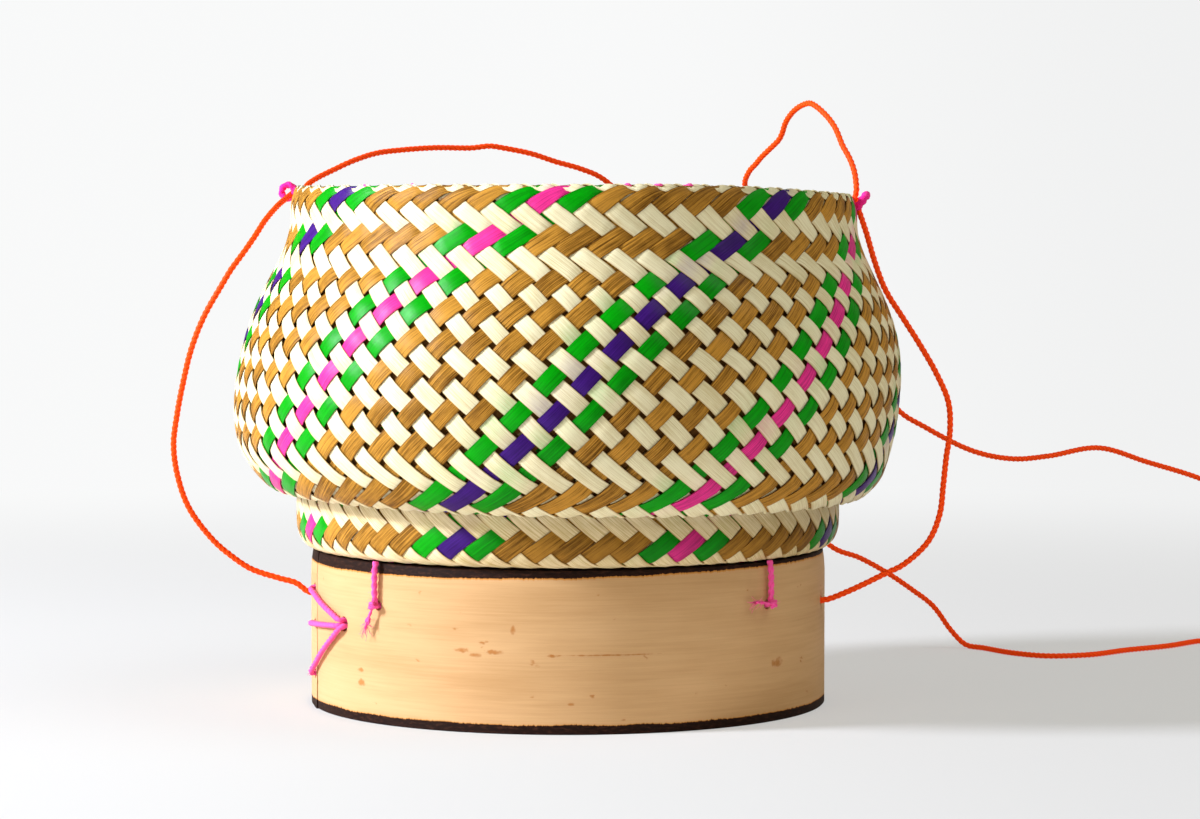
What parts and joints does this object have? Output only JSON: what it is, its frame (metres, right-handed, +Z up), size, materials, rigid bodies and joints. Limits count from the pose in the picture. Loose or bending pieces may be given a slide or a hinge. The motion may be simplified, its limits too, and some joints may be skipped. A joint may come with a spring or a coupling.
{
  "type": "sticky rice basket",
  "caption": "Woven rice basket with a round lifting lid, on a foot ring, with yarn ties and a cord that runs through loops on the lid as a strap.",
  "frame": {"origin": "on the surface it stands on, at the middle of the foot ring", "axes": "+Z up along the basket's axis, -Y towards the front that the picture shows, +X to the right"},
  "size_m": [0.3082, 0.2097, 0.1505],
  "materials": {
    "stalk": "split leaf stalk, smooth pale face with dark ragged margins",
    "weave": "flat woven strips, dry and slightly glossy",
    "pink_yarn": "soft fuzzy yarn",
    "orange_cord": "twisted nylon cord, slightly shiny"
  },
  "bodies": {
    "basket": {"foot_ring": "stalk", "lap_lashing": "pink_yarn", "tie_front_left": "pink_yarn", "tie_front_right": "pink_yarn", "tie_back_left": "pink_yarn", "tie_back_right": "pink_yarn", "basket_wall": "weave", "basket_floor": "weave", "floor_lacing": "pink_yarn", "carry_cord": "orange_cord", "cord_knot_left": "orange_cord", "cord_knot_right": "orange_cord"},
    "lid": {"lid_wall": "weave", "lid_top": "weave", "top_lacing": "pink_yarn", "loop_left": "pink_yarn", "loop_right": "pink_yarn"}
  },
  "joints": [
    {"name": "lid_lift", "type": "slide", "parent": "basket", "child": "lid", "axis": [0, 0, 1], "range_m": [0, 0.09], "deforming": ["carry_cord"]}
  ]
}
